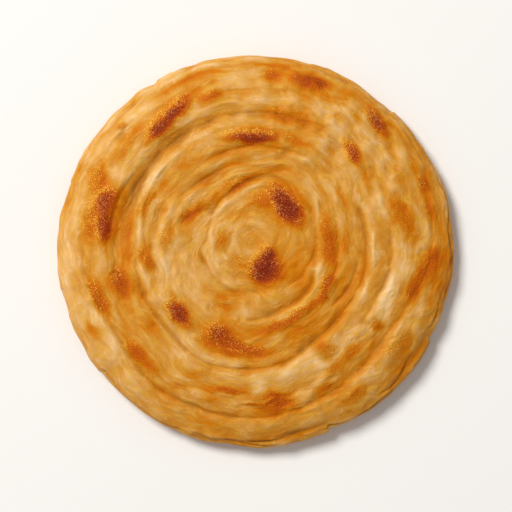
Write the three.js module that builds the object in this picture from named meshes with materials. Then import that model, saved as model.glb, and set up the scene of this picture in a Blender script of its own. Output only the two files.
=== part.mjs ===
// A layered paratha: one round flatbread, coiled from a single pleated strip of dough, then
// rolled out and pan-fried. It is one solid piece. The turns of the strip show as overlapping
// folds round an off-centre heart, and the strip's tail is pressed against the rim.
//
// Frame: millimetres, +Z up, the origin at the middle of the base, on the surface it rests on.
// Angles are in degrees, counter-clockwise from +X seen from above.

import * as THREE from "three";

// ---- Driving dimensions ----

const DIAMETER = 166; // across the rim
const CROWN_HEIGHT = 17; // of the top skin in the middle, before the folds
const SHOULDER_DROP = 2.2; // how far the top skin has sunk where the rim starts to turn down
const SHOULDER_REACH = 0.91; // share of the radius where the rim starts to turn down
const RIM_HEIGHT = 6.8; // of the widest line round the side
const BASE_RADIUS = 70; // of the flat face underneath

const HEART = new THREE.Vector2(-1.6, 5.6); // the coil starts here, off the bread's middle
const HEART_REACH = 40; // the turns within this radius lean towards the heart

const OVAL = 0.7; // how much the outline's radius gains along X and loses along Y
const RIPPLE = 0.4; // height of the smaller waves in the outline
const TAIL_ANGLE = 293; // where the strip's tail ends on the rim
const TAIL_STEP = 2.6; // how far the tail stands out from the turn under it
const TAIL_EDGE = 4; // degrees over which the outline steps in, past the tail
const TAIL_DENT = 20; // degrees past the tail where the outline is full again

// ---- Mesh resolution ----

const SPOKES = 96; // vertices round each ring
const TOP_RINGS = 42;
const SIDE_RINGS = 5; // from the shoulder to the widest line
const UNDER_RINGS = 3; // from the widest line to the flat base

// ---- Folds ----
// A fold is a groove between two turns of the strip. Its route is a list of [angle, radius]
// in order round the coil, and angles past 360 go on into the next turn. depth is how deep
// the groove is at its line, and bank how far its sides reach.

const FOLDS = [
  {
    name: "edge of the dimple at the heart",
    depth: 1.1,
    bank: 1.8,
    closed: true,
    route: [[0, 4.8], [180, 5.0], [360, 4.8]],
  },
  {
    name: "edge of the boss",
    depth: 2.0,
    bank: 2.6,
    closed: true,
    route: [[0, 26], [42, 29], [74, 31], [139, 22.8], [188, 20], [298, 21.6], [360, 26]],
  },
  {
    name: "turn over the boss",
    depth: 1.5,
    bank: 2.8,
    route: [[120, 25.5], [150, 31], [230, 37], [275, 31], [330, 29.5], [430, 40], [520, 36]],
  },
  {
    name: "middle turn",
    depth: 1.5,
    bank: 2.8,
    route: [[-15, 38], [25, 42], [75, 45.3], [118, 45], [188, 37.5]],
  },
  {
    name: "long groove",
    depth: 2.4,
    bank: 2.8,
    route: [[118, 57.5], [150, 53.5], [220, 49.1], [250, 51.5], [305, 45.2], [385, 46.5]],
  },
  {
    name: "outer turn",
    depth: 2.0,
    bank: 3.0,
    route: [[60, 63], [88, 60], [156, 61.4], [188, 63]],
  },
  {
    name: "inner edge of the turn at the rim",
    depth: 2.0,
    bank: 2.6,
    route: [[90, 69], [160, 74.3], [205, 70.5], [250, 70], [315, 65.8], [375, 75.5], [400, 78]],
  },
  {
    name: "edge of the tail",
    depth: 1.2,
    bank: 2.0,
    route: [[246, 83], [268, 81.5], [293, 77.5]],
  },
];
const FADE = 26; // degrees over which an open fold dies out at each end

const GOLDEN_CRUST = "#d4903c";
const CRUST_ROUGHNESS = 0.5;

// ---- Outline ----

// A smooth ramp from 0 to 1 as x goes from a to b.
const ramp = (x, a, b) => THREE.MathUtils.smoothstep(x, a, b);

// Distance from the middle to the widest line, at an angle: nearly a circle, a little wider
// along X, with slow waves from the rolling and the step where the tail of the strip ends.
function rimRadius(angle) {
  const t = THREE.MathUtils.degToRad(angle);
  const waves = RIPPLE * (0.6 * Math.cos(3 * t + 1.1) + 0.4 * Math.cos(7 * t));
  const pastTail = THREE.MathUtils.euclideanModulo(angle - TAIL_ANGLE, 360);
  const dent = ramp(pastTail, 0, TAIL_EDGE) - ramp(pastTail, TAIL_EDGE, TAIL_DENT);
  return DIAMETER / 2 + OVAL * Math.cos(2 * t) + waves - TAIL_STEP * dent;
}

// ---- Section ----

// A station on a quarter of an ellipse, where turn goes from 0 at the start to a right angle.
const quarter = (from, to, turn) => from + (to - from) * Math.sin(turn);

// The plain section, before the folds, as [reach, height] stations from the middle of the top,
// out over the rim, and back to the flat base. reach is a share of the rim's radius.
function sectionStations() {
  const stations = [];
  for (let i = 1; i <= TOP_RINGS; i++) {
    const share = i / TOP_RINGS;
    stations.push([share * SHOULDER_REACH, CROWN_HEIGHT - SHOULDER_DROP * share ** 3]);
  }
  const rightAngle = Math.PI / 2;
  const shoulderHeight = CROWN_HEIGHT - SHOULDER_DROP;
  for (let i = 1; i <= SIDE_RINGS; i++) {
    const turn = (i / SIDE_RINGS) * rightAngle;
    stations.push([
      quarter(SHOULDER_REACH, 1, turn),
      quarter(RIM_HEIGHT, shoulderHeight, rightAngle - turn),
    ]);
  }
  const baseReach = BASE_RADIUS / (DIAMETER / 2);
  for (let i = 1; i <= UNDER_RINGS; i++) {
    const turn = (i / UNDER_RINGS) * rightAngle;
    stations.push([
      quarter(baseReach, 1, rightAngle - turn),
      quarter(RIM_HEIGHT, 0, turn),
    ]);
  }
  return stations;
}

// ---- Relief of the folds ----

// A function of the angle that gives [radius, strength] of a fold there, once for each turn
// of the fold that passes the angle. Open folds fade out towards both ends.
function foldPasses({ route, closed }) {
  const angles = route.map((point) => point[0]);
  const radii = route.map((point) => point[1]);
  const curve = new THREE.CubicInterpolant(angles, radii, 1);
  const first = angles[0];
  const last = angles.at(-1);
  return (angle) => {
    const passes = [];
    for (let a = angle - 360; a <= last; a += 360) {
      const fades = ramp(a - first, 0, FADE) * ramp(last - a, 0, FADE);
      if (a >= first) {
        passes.push([curve.evaluate(a)[0], closed ? 1 : fades]);
      }
    }
    return passes;
  };
}

const folds = FOLDS.map((fold) => ({ ...fold, passes: foldPasses(fold) }));

// Height that the folds take off the plain section at a radius and an angle. Each is sharp at
// its line and dies away on both banks, so the strip stands up as a soft ridge between two.
function foldDepth(radius, angle) {
  let total = 0;
  for (const { depth, bank, passes } of folds) {
    const grooves = passes(angle).map(
      ([line, strength]) => strength * Math.exp(-Math.abs(radius - line) / bank),
    );
    total += depth * Math.max(0, ...grooves);
  }
  return total;
}

// ---- The solid ----

// Where a station of the section lies at an angle. The turns near the middle lean towards the
// heart, and the folds die out between the shoulder and the widest line.
function surfacePoint([reach, height], angle) {
  const radius = reach * rimRadius(angle);
  const lean = Math.max(0, 1 - radius / HEART_REACH);
  const onTop = height > RIM_HEIGHT ? ramp(1 - reach, 0, 1 - SHOULDER_REACH) : 0;
  const t = THREE.MathUtils.degToRad(angle);
  return [
    HEART.x * lean + radius * Math.cos(t),
    HEART.y * lean + radius * Math.sin(t),
    height - onTop * foldDepth(radius, angle),
  ];
}

// Rings of vertices at the stations, joined by triangles, with one vertex more at the middle
// of the top and one at the middle of the base.
function parathaGeometry() {
  const stations = sectionStations();
  const positions = [HEART.x, HEART.y, CROWN_HEIGHT - foldDepth(0, 0)];
  for (const station of stations) {
    for (let spoke = 0; spoke < SPOKES; spoke++) {
      positions.push(...surfacePoint(station, (360 * spoke) / SPOKES));
    }
  }
  const topMiddle = 0;
  const baseMiddle = positions.length / 3;
  positions.push(0, 0, 0);

  const vertex = (ring, spoke) => 1 + ring * SPOKES + (spoke % SPOKES);
  const lastRing = stations.length - 1;
  const indices = [];
  for (let spoke = 0; spoke < SPOKES; spoke++) {
    const next = spoke + 1;
    indices.push(topMiddle, vertex(0, spoke), vertex(0, next));
    for (let ring = 0; ring < lastRing; ring++) {
      indices.push(vertex(ring, spoke), vertex(ring + 1, spoke), vertex(ring + 1, next));
      indices.push(vertex(ring, spoke), vertex(ring + 1, next), vertex(ring, next));
    }
    indices.push(baseMiddle, vertex(lastRing, next), vertex(lastRing, spoke));
  }

  const geometry = new THREE.BufferGeometry();
  geometry.setAttribute("position", new THREE.Float32BufferAttribute(positions, 3));
  geometry.setIndex(indices);
  geometry.computeBoundingBox();
  const { min, max } = geometry.boundingBox;
  geometry.translate(-(min.x + max.x) / 2, -(min.y + max.y) / 2, 0);
  geometry.computeVertexNormals();
  return geometry;
}

const crust = new THREE.MeshStandardMaterial({
  color: GOLDEN_CRUST,
  roughness: CRUST_ROUGHNESS,
  metalness: 0,
});

const paratha = new THREE.Mesh(parathaGeometry(), crust);
paratha.name = "paratha";

const part = new THREE.Group();
part.add(paratha);

export default part;
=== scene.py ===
# A layered paratha, as it comes off the pan: a strip of pleated dough coiled round an off-centre
# heart, rolled out thick and fried, on a plain pale floor. Sizes are in millimetres and angles in
# degrees, counter-clockwise from +X seen from above, until the mesh is made in metres.

import itertools

import bpy
import numpy as np
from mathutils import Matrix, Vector


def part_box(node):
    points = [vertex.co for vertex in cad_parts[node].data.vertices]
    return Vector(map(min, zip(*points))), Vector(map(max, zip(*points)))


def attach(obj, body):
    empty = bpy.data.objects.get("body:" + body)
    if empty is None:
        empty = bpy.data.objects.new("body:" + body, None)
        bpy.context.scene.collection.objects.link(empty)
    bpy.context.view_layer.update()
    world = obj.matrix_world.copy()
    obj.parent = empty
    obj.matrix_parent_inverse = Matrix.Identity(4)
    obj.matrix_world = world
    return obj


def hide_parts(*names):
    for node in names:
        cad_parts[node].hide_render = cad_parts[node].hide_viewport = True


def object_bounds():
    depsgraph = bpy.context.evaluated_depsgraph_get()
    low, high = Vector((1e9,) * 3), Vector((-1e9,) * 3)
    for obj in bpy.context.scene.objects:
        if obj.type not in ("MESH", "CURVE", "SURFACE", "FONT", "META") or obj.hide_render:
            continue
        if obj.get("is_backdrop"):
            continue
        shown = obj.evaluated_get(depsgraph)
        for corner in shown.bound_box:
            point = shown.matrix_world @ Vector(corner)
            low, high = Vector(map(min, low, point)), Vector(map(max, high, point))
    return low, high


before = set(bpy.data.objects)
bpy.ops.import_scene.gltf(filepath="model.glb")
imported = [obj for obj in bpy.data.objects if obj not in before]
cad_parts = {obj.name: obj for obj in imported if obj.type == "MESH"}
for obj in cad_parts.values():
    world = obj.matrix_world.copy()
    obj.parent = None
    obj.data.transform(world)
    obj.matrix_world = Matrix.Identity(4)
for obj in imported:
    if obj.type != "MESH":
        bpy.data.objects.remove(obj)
cad_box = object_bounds()

MM = 0.001  # metres

# ==== The rolled round ====
# One thick round of wheat dough, flat where it lay on the pan and plump all round its edge.
# The section is a superellipse turned about the middle, and the ends of the layers notch it.

cad_low, cad_high = (np.array(corner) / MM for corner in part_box("paratha"))
RIM_PLUMPNESS = 0.1  # how far the rim lies outside the solid's mean half width
RIM_RADIUS = (cad_high - cad_low)[:2].mean() / 2 + RIM_PLUMPNESS
CROWN_HEIGHT = cad_high[2]
RIM_HEIGHT = 0.40 * CROWN_HEIGHT  # of the widest line round the side
BASE_RADIUS = 0.845 * RIM_RADIUS
EDGE_SQUARENESS = 6.0  # how flat the top stays before the rim turns down
SECTION_POINTS = (2000, 200)  # points along the section's top and its underside
OVAL = 0.6  # how much the outline's radius gains along X and loses along Y
# Waves in the outline, read on a ring in the noise: its radius, their height, level and seed.
OUTLINE_WAVES = [(3.2, 0.45, 0.5, 1), (9.0, 0.25, 3.5, 2)]

# Where an outer layer ends and the outline steps in: (angle, step, degrees to be full again).
LAYER_ENDS = [
    (293.0, 1.5, 18.0),
    (46.0, 0.9, 24.0),
    (74.0, 0.6, 8.0),
    (121.0, 0.9, 8.0),
    (160.0, 0.5, 10.0),
    (192.0, 0.6, 22.0),
    (218.5, 0.6, 28.0),
    (246.0, 0.5, 7.0),
    (333.5, 0.8, 10.0),
    (344.0, 0.5, 8.0),
]
LAYER_END_WIDTH = 1.2  # degrees over which the step falls
NOISE_SPREAD = 1.7  # brings the noise to about -1 to 1
NOISE_GRADIENTS = np.random.default_rng(11).normal(size=(4096, 3))
NOISE_GRADIENTS /= np.linalg.norm(NOISE_GRADIENTS, axis=1, keepdims=True)


def smooth(value, start, end):
    """Goes from 0 at start to 1 at end, level at both."""
    share = np.clip((value - start) / (end - start), 0, 1)
    return share * share * (3 - 2 * share)


def noise(x, y, z, seed=0):
    """Gradient noise from about -1 to 1. At each corner of the unit cube round a point, a fixed
    random gradient is dotted with the way from the corner, and the eight are eased together. The
    gradient is picked by mixing the corner's numbers and the seed with large odd numbers."""
    points = np.stack(np.broadcast_arrays(x, y, z), axis=-1).astype(float)
    cell = np.floor(points).astype(np.int64)
    part = points - cell
    ease = part**3 * (part * (part * 6 - 15) + 10)
    total = np.zeros(points.shape[:-1])
    for corner in itertools.product((0, 1), repeat=3):
        hashed = (cell + corner) @ np.array([73856093, 19349663, 83492791]) + seed * 2654435761
        hashed = (hashed ^ (hashed >> 13)) * 1274126177 & 0x7FFFFFFF
        gradient = NOISE_GRADIENTS[(hashed >> 7) % len(NOISE_GRADIENTS)]
        weight = np.prod(np.where(corner, ease, 1 - ease), axis=-1)
        total += weight * (gradient * (part - corner)).sum(axis=-1)
    return NOISE_SPREAD * total


def uneven(x, y, size, level, seed):
    """Noise over the round, with features of a size, read at a level of its third direction."""
    return noise(x / size, y / size, level, seed)


def outline(angle):
    """Radius of the widest line: a circle, a little oval, with slow waves, less a step at each
    layer's end that falls at once and recovers slowly."""
    turn = np.radians(angle)
    radius = RIM_RADIUS + OVAL * np.cos(2 * turn)
    for ring, rise, level, seed in OUTLINE_WAVES:
        radius += rise * noise(ring * np.cos(turn), ring * np.sin(turn), level, seed)
    for end, step, reach in LAYER_ENDS:
        past = np.mod(angle - end + LAYER_END_WIDTH, 360)
        radius -= step * (smooth(past, 0, LAYER_END_WIDTH) - smooth(past, LAYER_END_WIDTH, reach))
    return radius


def section(stations):
    """The plain section at evenly spaced stations: the share of the outline's radius, the height
    and the outward normal. A superellipse from the crown to the widest line, then a quarter of an
    ellipse under the rim, then the flat base."""
    over = np.linspace(0, np.pi / 2, SECTION_POINTS[0])
    share = np.sin(over) ** (2 / EDGE_SQUARENESS)
    height = RIM_HEIGHT + (CROWN_HEIGHT - RIM_HEIGHT) * np.cos(over)
    under = np.linspace(0, np.pi / 2, SECTION_POINTS[1])[1:]
    base_share = BASE_RADIUS / RIM_RADIUS
    share = np.append(share, base_share + (1 - base_share) * np.cos(under))
    height = np.append(height, RIM_HEIGHT * (1 - np.sin(under)))
    across = share * RIM_RADIUS
    length = np.append(0, np.cumsum(np.hypot(np.diff(across), np.diff(height))))
    at = np.asarray(stations)
    tangent = np.gradient(np.stack([across, height]), length, axis=1)
    tangent /= np.linalg.norm(tangent, axis=0)
    normal = np.stack([-tangent[1], tangent[0]])
    return [np.interp(at, length, line) for line in (share, height, *normal)], length[-1]


# ==== The turns of the strip ====
# The strip is pleated, pulled and coiled, and each turn lies partly over the turn inside it: the
# skin slopes down gently to a line, and climbs steeply again outside it.

LAYOUT_SCALE = 1.01  # of the round that the lines and patches are laid out on, to this one
HEART = np.array([-1.6, 5.6])  # the coil starts here, off the middle of the bread
HEART_REACH = 40.0  # turns within this radius lean towards the heart

# Each line has the width of its climb and its route as (angle, radius, depth, climb). depth is
# that of the crease at the line, and climb is how much higher the skin is outside it than inside:
# below 0 it drops.
BOSS_EDGE = (1.9, [
    (-5, 25.8, 0.7, 0.5), (20, 27.4, 0.5, 0.3), (42, 29.1, 0.3, 0.1), (74, 31.3, 0.8, 0),
    (92, 28.6, 0.9, -0.4), (116, 24.6, 0.9, -0.6), (139, 22.4, 0.9, -0.6), (160, 19.8, 0.8, -0.4),
    (174, 19.2, 0.7, -0.2), (188, 22.6, 0.4, 0), (219, 21.9, 0.4, 0.4), (245, 21.5, 0.5, 0.7),
    (274, 20.2, 0.4, 0.6), (298, 21.6, 0.3, 0.5), (326, 23.9, 0.5, 0.5), (355, 25.8, 0.7, 0.5),
])
TURN_EDGES = [
    # the turn over the boss: its raised edge, its crossing fold and a slack fold
    (1.6, [(256, 29.6, 0, 0), (270, 29, 0.5, 0.7), (285, 27.6, 0.6, 1.1), (297, 27.2, 0.7, 1.2),
           (308, 27.8, 0.8, 1.6), (320, 28, 0.8, 1.9), (331, 28, 0.7, 1.4), (341, 26.5, 0.6, 0.5),
           (352, 25.6, 0.5, 0.4), (364, 25.4, 0, 0)]),
    (3, [(64, 38.3, 0, 0), (71, 36.2, 0.4, 0.7), (82, 32.6, 0.5, 1.1), (93, 30, 0.7, 1.4),
           (103, 28.4, 0.6, 1.2), (112, 26.6, 0.2, 0.6), (119, 25, 0.1, 0.5), (127, 24.2, 0.3, 1),
           (136, 25.4, 0.4, 1.1), (147, 30.2, 0.3, 0.9), (155, 32, 0.3, 0.6), (166, 35.5, 0, 0)]),
    (1.8, [(-24, 34, 0, 0), (-12, 34.8, 0.5, 0.4), (0, 35.2, 0.6, 0.4), (12, 35.6, 0.6, 0.4),
           (20, 36.2, 0.4, 0.2), (28, 37.2, 0, 0)]),
    (2.8, [(58, 41.5, 0, 0), (75, 40.2, 0.2, 0.8), (90, 38.4, 0.3, 1.6), (110, 37.4, 0.3, 2.1),
           (125, 37.2, 0.3, 2.1), (138, 38.2, 0.3, 1.6), (152, 40.4, 0, 0)]),
    # the middle turn
    (1.9, [(5, 39.8, 0, 0), (15, 40.8, 0.5, -0.4), (25, 42.2, 0.6, -0.4), (34, 43.3, 0.5, 0),
           (45, 44.5, 0.3, 0.4), (60, 45, 0.4, 0.6), (75, 44.6, 0.8, 1), (90, 44.4, 1, 1.3),
           (104, 44.1, 1.1, 1.3), (118, 43.2, 0.6, 0.9), (129, 43, 0.1, 0.3), (145, 43.4, 0.1, 0),
           (160, 44.6, 0.2, -0.2), (172, 44.8, 0.2, -0.2), (188, 45, 0.2, 0),
           (202, 43.5, 0, 0)]),
    (1.1, [(142, 40.2, 0, 0), (152, 40.4, 0, -0.9), (164, 41.4, 0, -1.4),
           (176, 41.6, 0, -1.4), (186, 40.8, 0, -0.8), (198, 39.6, 0, 0)]),
    # the long line, from the drop in the upper left to the steep climb in the lower right
    (1.9, [(96, 57.5, 0, 0), (108, 56.4, 0.3, -0.8), (122, 55.6, 0.4, -1.2),
           (135, 55, 0.4, -1.4), (150, 54.6, 0.5, -1.5), (160, 53.2, 0.6, -1.6),
           (170, 50.9, 0.9, -1.6), (181, 50.4, 1.2, -1.5), (191, 50.8, 1.4, -1.4),
           (200, 51.2, 1.5, -0.7), (210, 50.6, 1.5, -0.6), (220, 49.8, 1.3, -0.6),
           (228, 50, 1.2, -0.4), (238, 51.3, 1.2, 0.2), (246, 51.9, 1.1, 0.3), (255, 51.3, 1.1, 0.4),
           (265, 50.4, 1.2, 0.7), (275, 49.8, 1.2, 1), (284, 49.2, 1.2, 1.4), (291, 48, 1.2, 1.8),
           (297, 46.2, 1.2, 2), (305, 45.3, 1.2, 1.8), (315, 45.2, 1.1, 1.8), (325, 45.3, 0.9, 1.9),
           (335, 46.2, 0.7, 1.6), (345, 47.3, 0.6, 1.3), (360, 47, 0.7, 1.2), (375, 46.8, 0.6, 0.7),
           (386, 47.5, 0.3, 0.3), (396, 48.5, 0, 0)]),
    (2.2, [(226, 44.5, 0, 0), (238, 45.8, 0.3, 0.9), (250, 46, 0.3, 1.2), (262, 45.8, 0.3, 1.2),
           (275, 45, 0.3, 1), (288, 43.5, 0.3, 0.8), (300, 42.8, 0, 0)]),
    (1.5, [(320, 40, 0, 0), (328, 40.6, 0.5, 0.7), (335, 42, 0.8, 0.9), (342, 43, 0.8, 0.7),
           (350, 43.5, 0.6, 0.7), (357, 44.4, 0.4, 0.4), (366, 45, 0, 0)]),
    (1.9, [(314, 52, 0, 0), (325, 53.8, 0.3, 0.5), (335, 55.6, 0.6, 0.8), (343, 56, 0.7, 0.9),
           (350, 57, 0.7, 0.8), (358, 57.7, 0.6, 0.6), (368, 57.5, 0.5, 0.5), (380, 57.6, 0, 0)]),
    # the outer turn
    (3.2, [(56, 57, 0, 0), (75, 58.6, 0.4, 0.6), (88, 59, 0.6, 1), (101, 58.6, 0.7, 1.7),
           (112, 58.2, 0.4, 2.4), (122, 58, 0.3, 2.9), (132, 57.8, 0.3, 2.9),
           (140, 57.4, 0.3, 2.8), (147, 57.2, 0.3, 3), (156, 58, 0.2, 3.5),
           (165, 59, 0.2, 3.6), (173, 59.6, 0.1, 3.3), (181, 59.8, 0.1, 2.6),
           (190, 60, 0.1, 1.6), (201, 60.2, 0.1, 0.8), (214, 60.5, 0, 0)]),
    (1.2, [(86, 61.6, 0, 0), (101, 61, 0.3, 0.2), (122, 60.6, 0.5, 0.2), (135, 60.2, 0.3, 0),
           (144, 60.4, 0.4, 0.2), (152, 61.2, 1, 0.5), (160, 61.8, 1.1, 0.6), (168, 62.2, 1, 0.4),
           (176, 62.8, 0.5, 0), (184, 63.2, 0, 0)]),
    # the turn at the rim
    (3, [(96, 73.5, 0, 0), (106, 73, 0.4, 0), (118, 72.5, 0.5, 0), (130, 73.3, 0.4, 0),
           (140, 75, 0.4, 0), (150, 75.8, 0.4, -0.3), (160, 76.3, 0.4, -0.3),
           (170, 75.5, 0.4, -0.3), (180, 74, 0.6, 0.2), (192, 72.2, 0.8, 0.6), (205, 69.2, 0.7, 0.9),
           (215, 69.2, 0.8, 0.9), (228, 71, 0.9, 0.8), (236, 71.8, 1, 0.7), (247, 71.2, 1, 0.7),
           (266, 71.2, 1, 0.5), (275, 70.6, 0.7, 0.8), (283, 69.8, 0.3, 1.2), (290, 68.8, 0.3, 1.6),
           (300, 67.8, 0.3, 2.1), (310, 67, 0.3, 2.2), (320, 66.4, 0.3, 2.1), (330, 66.4, 0.3, 1.7),
           (338, 67.8, 0.3, 1.3), (346, 70.5, 0.3, 0.8), (353, 73, 0.3, 0.3), (360, 75, 0.4, 0),
           (370, 76, 0.5, -0.3), (380, 76.8, 0.5, -0.4), (390, 78, 0.5, -0.5),
           (400, 80, 0.3, 0), (410, 81.5, 0, 0)]),
    (1.9, [(60, 68.8, 0, 0), (72, 69, 0.3, 0.3), (95, 68.7, 0.4, 0.4), (108, 69.5, 0, 0)]),
    (1.9, [(58, 77.4, 0, 0), (70, 77.6, 0.6, 0), (84, 79.6, 0.5, 0), (104, 79.2, 0.5, 0),
           (120, 79, 0.5, 0), (132, 79.6, 0, 0)]),
    # the tail, and the layer under it
    (1.5, [(254, 83, 0, 0), (266, 82, 0.6, 0.6), (272, 81.5, 0.7, 0.8), (280, 80.2, 0.8, 0.9),
           (288, 80, 0.8, 0.9), (293, 80.2, 0.6, 0.5), (299, 80.6, 0, 0)]),
    (1.5, [(301, 83.3, 0, 0), (308, 82.2, 0.5, 0.5), (314, 81.8, 0.5, 0.5), (325, 81.6, 0.2, 0.3),
           (337, 81.6, 0.2, 0.3), (346, 82.4, 0.2, 0.2), (354, 83.1, 0, 0)]),
    # where the turns have fused, only the run of the pleats goes on
    (1.9, [(0, 47, 0, 0), (25, 50, 0.1, 0), (50, 55, 0.1, 0), (72, 59.5, 0.1, 0)]),
    (1.9, [(0, 57.5, 0, 0), (20, 58.5, 0.1, 0), (40, 62.5, 0.1, 0), (60, 66.5, 0.1, 0)]),
]

# Each low ridge has its half width and its route as (angle, radius, height).
RIDGES = [
    (1.6, [(64, 39.5, 0), (76, 38.2, 0.5), (90, 36.2, 0.7), (102, 33.8, 0.5),
           (114, 32, 0.1), (130, 34.8, 0.3), (144, 36, 0.5), (152, 37, 0)]),
    (1.5, [(118, 53.2, 0), (128, 53.1, 0.6), (140, 53, 0.8), (152, 52.3, 0.9),
           (162, 50.8, 0.9), (172, 49.2, 0.9), (186, 49.2, 0.9), (192, 48.6, 0.7), (200, 47.2, 0.3),
           (208, 46.8, 0.3), (220, 48.2, 0.8), (228, 48.6, 0)]),
    (1.2, [(80, 28.8, 0), (87, 27.9, 0.6), (97, 26.2, 0.7), (107, 24.8, 0.7), (120, 23.4, 0.7),
           (132, 22.6, 0.7), (142, 22.2, 0.6), (151, 20.8, 0.6), (160, 19.2, 0.6), (170, 18, 0.6),
           (184, 17.6, 0.5), (196, 17, 0)]),
    (0.9, [(328, 50.2, 0), (336, 49.2, 0.5), (344, 49.8, 0.6), (352, 50.2, 0.5),
           (366, 49.8, 0.4), (380, 50.2, 0)]),
    (0.9, [(284, 71, 0), (292, 70.6, 0.5), (302, 70.2, 0.6), (314, 69.8, 0.6),
           (324, 68.9, 0.6), (332, 69, 0.5), (340, 70.5, 0)]),
    (2, [(277, 70, 0), (284, 68, 0.8), (291, 65, 0.9), (297, 61.8, 0.7),
           (304, 59.5, 0)]),
    (1.3, [(328, 56.8, 0), (336, 57.9, 0.4), (345, 58.8, 0.5), (353, 59.9, 0.4),
           (362, 60.2, 0)]),
    (1, [(255, 31, 0), (268, 30.7, 0.5), (285, 29.2, 0.3), (300, 28.9, 0.3),
           (318, 29.3, 0.8), (330, 29.6, 0.6), (342, 27.6, 0.2), (354, 27, 0)]),
    (1.5, [(146, 40.4, 0), (154, 39.4, 0.6), (170, 40.4, 0.3), (182, 39.6, 0.3), (192, 38.6, 0.4),
           (202, 38, 0)]),
    (0.8, [(182, 19.4, 0), (192, 20, 0.5), (204, 19.6, 0.4), (220, 20.2, 0)]),
    (0.7, [(188, 35.4, 0), (196, 34.6, 0.5), (206, 33.2, 0.5), (216, 32.4, 0)]),
    (0.9, [(14, 36.4, 0), (23, 38.4, 0.7), (32, 40.4, 0.5), (39, 42.4, 0)]),
    (0.7, [(257, 41.6, 0), (263, 39.8, 0.5), (270, 37.4, 0.6), (280, 35.4, 0)]),
    (0.8, [(196, 52.4, 0), (206, 51.6, 0.4), (220, 51.2, 0.5), (236, 52.8, 0)]),
    (0.9, [(128, 36, 0), (136, 36.2, 0.5), (148, 36.4, 0.5), (158, 37.4, 0)]),
    (0.9, [(20, 27.4, 0), (30, 30.4, 0.5), (38, 33.4, 0.5), (46, 35.4, 0)]),
    (0.8, [(236, 64, 0), (246, 62.4, 0.5), (256, 61.6, 0.5), (266, 62.4, 0)]),
]
ROUTE_EASE = 9  # degrees over which a route's corners are rounded
CREASE_BANKS = (1.7, 1.2)  # reach of a crease's inner and outer bank
CLIMB_REACH = (7.5, 8.0)  # how far a climb is felt inside and outside it
CLIMB_SHARE = 0.58  # of a climb on each side of its line: half, and a little for the slopes
CLIMB_OUT = 0.8  # how far outside its line a climb's middle lies, in its own widths
LINE_WANDER = (0.4, 7.0)  # how far a line wanders off its route, and over what length
DEPTH_CHANGE = (0.3, 11.0)  # share by which the folds deepen and flatten, and over what length
RIDGE_BREAKS = (-0.6, 0.3)  # values of the noise at which a ridge is broken and whole
RIDGE_BREAK_SIZE = 8.0
LINE_PULL = 6.0  # how far to both sides of a line the skin's streaks run along it
FREE_RUN = 0.1  # how strongly they run in plain circles elsewhere
HEART_RING = (7.2, 1.5, 0.2)  # radius, half width and height of the ring round the heart
HEART_FLOOR = (4.8, 0.4)  # radius and depth of the dimple inside the ring


def lean(x, y):
    """Radius and angle about the drifting middle of the turns: the heart at first, and the middle
    of the bread from HEART_REACH on. Found by putting each answer back in, which settles."""
    radius = np.hypot(x, y)
    for _ in range(8):
        share = np.clip(1 - radius / HEART_REACH, 0, 1)
        radius = np.hypot(x - HEART[0] * share, y - HEART[1] * share)
    share = np.clip(1 - radius / HEART_REACH, 0, 1)
    return radius, np.degrees(np.arctan2(y - HEART[1] * share, x - HEART[0] * share))


def follow(route, radius, angle):
    """Signed distance from a route, outward positive, and the route's other numbers, at each
    point. The route runs straight from point to point and is then rounded by a sliding mean."""
    corners = np.array(route, float)
    degrees = np.arange(corners[0, 0], corners[-1, 0] + 1)
    ease = np.hanning(ROUTE_EASE + 2)[1:-1]
    lines = []
    for column in corners.T[1:]:
        line = np.interp(degrees, corners[:, 0], column)
        line = np.pad(line, ROUTE_EASE // 2, mode="edge")
        lines.append(np.convolve(line, ease / ease.sum(), "valid"))
    along = degrees[0] + np.mod(angle - degrees[0], 360)
    line = np.interp(along, degrees, lines[0])
    slope = np.degrees(np.interp(along, degrees, np.gradient(lines[0]))) / line
    sizes = [np.interp(along, degrees, size) * (along <= degrees[-1]) for size in lines[1:]]
    return (radius - line) / np.hypot(1, slope), *sizes


def turns(x, y):
    """Height of the turns, and the straightened radius, which is the same all along a line. A
    crease has exponential banks, a climb is a steep tanh that dies away on both sides, and a
    ridge is a low bell."""
    radius, angle = np.hypot(x, y), np.degrees(np.arctan2(y, x))
    leaning, leaning_angle = lean(x, y)
    wander = LINE_WANDER[0] * uneven(x, y, LINE_WANDER[1], 0.5, seed=3)
    vary = 1 + DEPTH_CHANGE[0] * uneven(x, y, DEPTH_CHANGE[1], 4.5, seed=4)
    height = np.zeros(np.shape(x))
    straight, weight = FREE_RUN * leaning, np.full(np.shape(x), FREE_RUN)
    for edge in [BOSS_EDGE, *TURN_EDGES]:
        width, route = edge
        place = (leaning, leaning_angle) if edge is BOSS_EDGE else (radius, angle)
        away, depth, climb = follow(route, *place)
        away = away + wander
        inside = away < 0
        crease = np.exp(-np.abs(away) / np.where(inside, *CREASE_BANKS))
        step = np.tanh((away - CLIMB_OUT * width) / width)
        step *= np.exp(-np.abs(away) / np.where(inside, *CLIMB_REACH))
        height += vary * (CLIMB_SHARE * climb * step - depth * crease)
        near = np.minimum(depth + np.abs(climb) / 2, 1) * np.exp(-((away / LINE_PULL) ** 2))
        straight += near * (np.mean([point[1] for point in route]) + away)
        weight += near
    whole = smooth(uneven(x, y, RIDGE_BREAK_SIZE, 6.5, seed=22), *RIDGE_BREAKS)
    for half_width, route in RIDGES:
        away, rise = follow(route, radius, angle)
        height += whole * rise * np.exp(-(((away + wander) / half_width) ** 2))
    ring_radius, ring_width, ring_height = HEART_RING
    floor_radius, floor_depth = HEART_FLOOR
    height += ring_height * np.exp(-(((leaning - ring_radius) / ring_width) ** 2))
    height -= floor_depth * np.exp(-((leaning / floor_radius) ** 4))
    return height, straight / weight


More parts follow.
